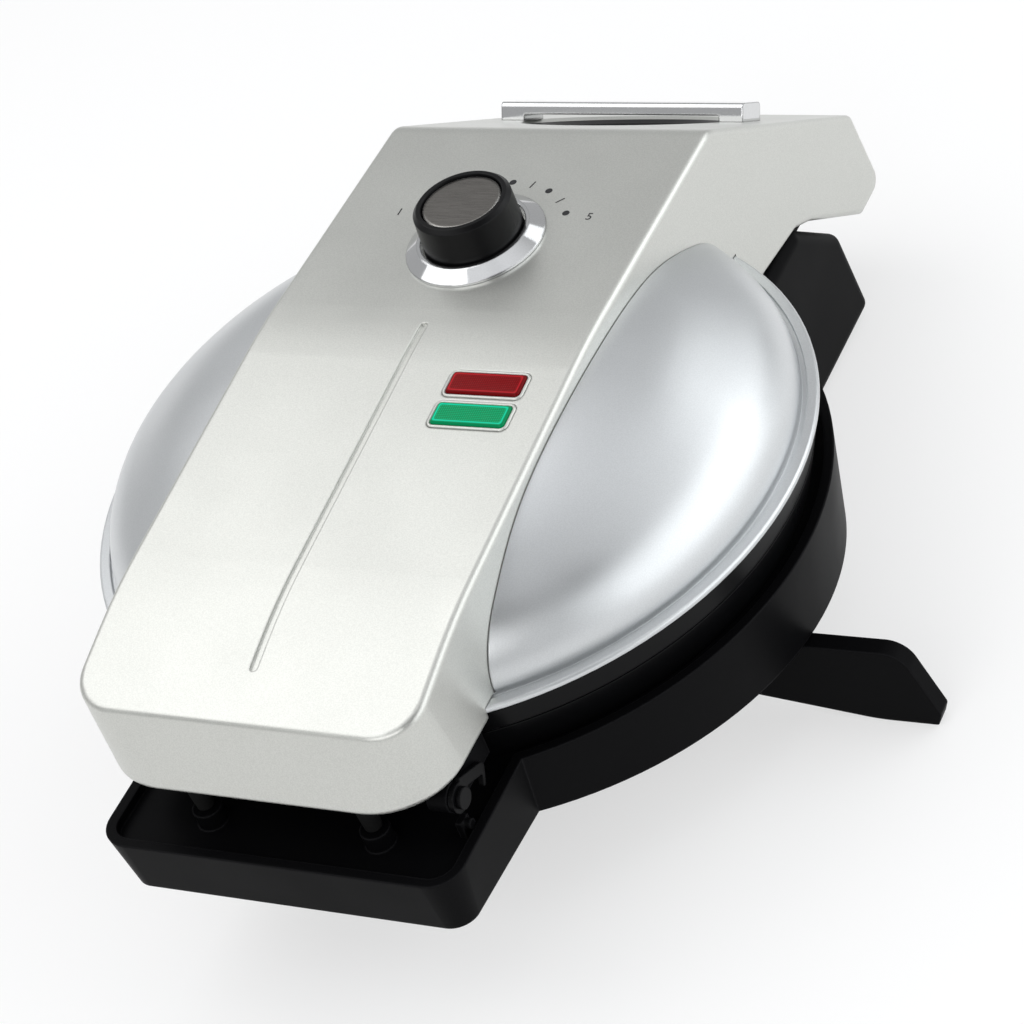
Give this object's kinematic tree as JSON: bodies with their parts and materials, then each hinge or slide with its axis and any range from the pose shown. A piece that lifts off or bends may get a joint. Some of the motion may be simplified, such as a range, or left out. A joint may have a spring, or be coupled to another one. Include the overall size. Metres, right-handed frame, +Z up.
{
  "type": "donut maker",
  "caption": "Closed table-top donut maker: satin silver lid with a bridge handle, dial and lamps, black tray and feet, hinged at the rear over ring moulds.",
  "frame": {"origin": "on the table under the middle of the overall box", "axes": "+X to the right seen from the front handle, +Y from the front handle to the rear hinge, +Z up"},
  "size_m": [0.2678, 0.3208, 0.132],
  "materials": {
    "silver_paint": "satin silver paint with a fine sparkle",
    "satin_dome": "smooth satin silver paint",
    "gloss_black": "black, half gloss",
    "black_body": "black plastic with a soft sheen",
    "knob_black": "black, satin",
    "chrome": "polished chrome",
    "brushed_cap": "brushed dark steel",
    "mould_coat": "cast aluminium with a dark non-stick coat",
    "heater_steel": "dull heater tube",
    "bright_sheet": "bright pressed sheet",
    "screw_steel": "zinc-plated steel",
    "white_ceramic": "pale heat-proof moulding",
    "red_lens": "clear dark red, unlit",
    "green_lens": "clear green, lit",
    "lamp_glass": "small clear lamp bulbs",
    "black_rubber": "soft black rubber"
  },
  "bodies": {
    "base": {"base_tray": "black_body", "base_bottom": "black_body", "lower_ring": "gloss_black", "lower_plate": "mould_coat", "lower_heater": "heater_steel", "lower_shield": "bright_sheet", "lower_plate_screws": "screw_steel", "base_screws": "screw_steel", "latch_keeper": "black_body", "rear_stand": "black_body", "stand_cover": "black_body", "terminal_block": "white_ceramic", "cord_bush": "black_rubber", "right_foot": "black_body", "left_foot": "black_body", "foot_screws": "screw_steel", "foot_pads": "black_rubber"},
    "lid": {"bridge_cover": "silver_paint", "lid_dome": "satin_dome", "upper_ring": "gloss_black", "upper_plate": "mould_coat", "upper_heater": "heater_steel", "upper_shield": "bright_sheet", "upper_plate_screws": "screw_steel", "lid_screws": "screw_steel", "liner_screws": "screw_steel", "handle_liner": "black_body", "front_bumpers": "black_rubber", "carry_bar": "chrome", "dial_bezel": "chrome", "thermostat": "white_ceramic", "thermostat_nut": "screw_steel", "thermal_fuse": "white_ceramic", "red_lens": "red_lens", "green_lens": "green_lens", "lamp_holder": "black_body", "indicator_lamps": "lamp_glass", "hinge_bracket_right": "black_body", "hinge_bracket_left": "black_body", "hinge_pin": "screw_steel", "latch_pin": "gloss_black"},
    "knob": {"knob": "knob_black", "knob_cap": "brushed_cap", "thermostat_shaft": "screw_steel"},
    "latch": {"latch_hook": "gloss_black"}
  },
  "joints": [
    {"name": "lid_hinge", "type": "hinge", "parent": "base", "child": "lid", "pos_m": [0, 0.14695, 0.0408], "axis": [-1, 0, 0], "range_deg": [0, 100]},
    {"name": "knob_turn", "type": "hinge", "parent": "lid", "child": "knob", "pos_m": [0, 0.02055, 0.125], "axis": [0, 0, -1], "range_deg": [0, 120]},
    {"name": "latch_turn", "type": "hinge", "parent": "lid", "child": "latch", "pos_m": [0.05085, -0.13875, 0.0676], "axis": [-1, 0, 0], "range_deg": [0, 65]}
  ]
}
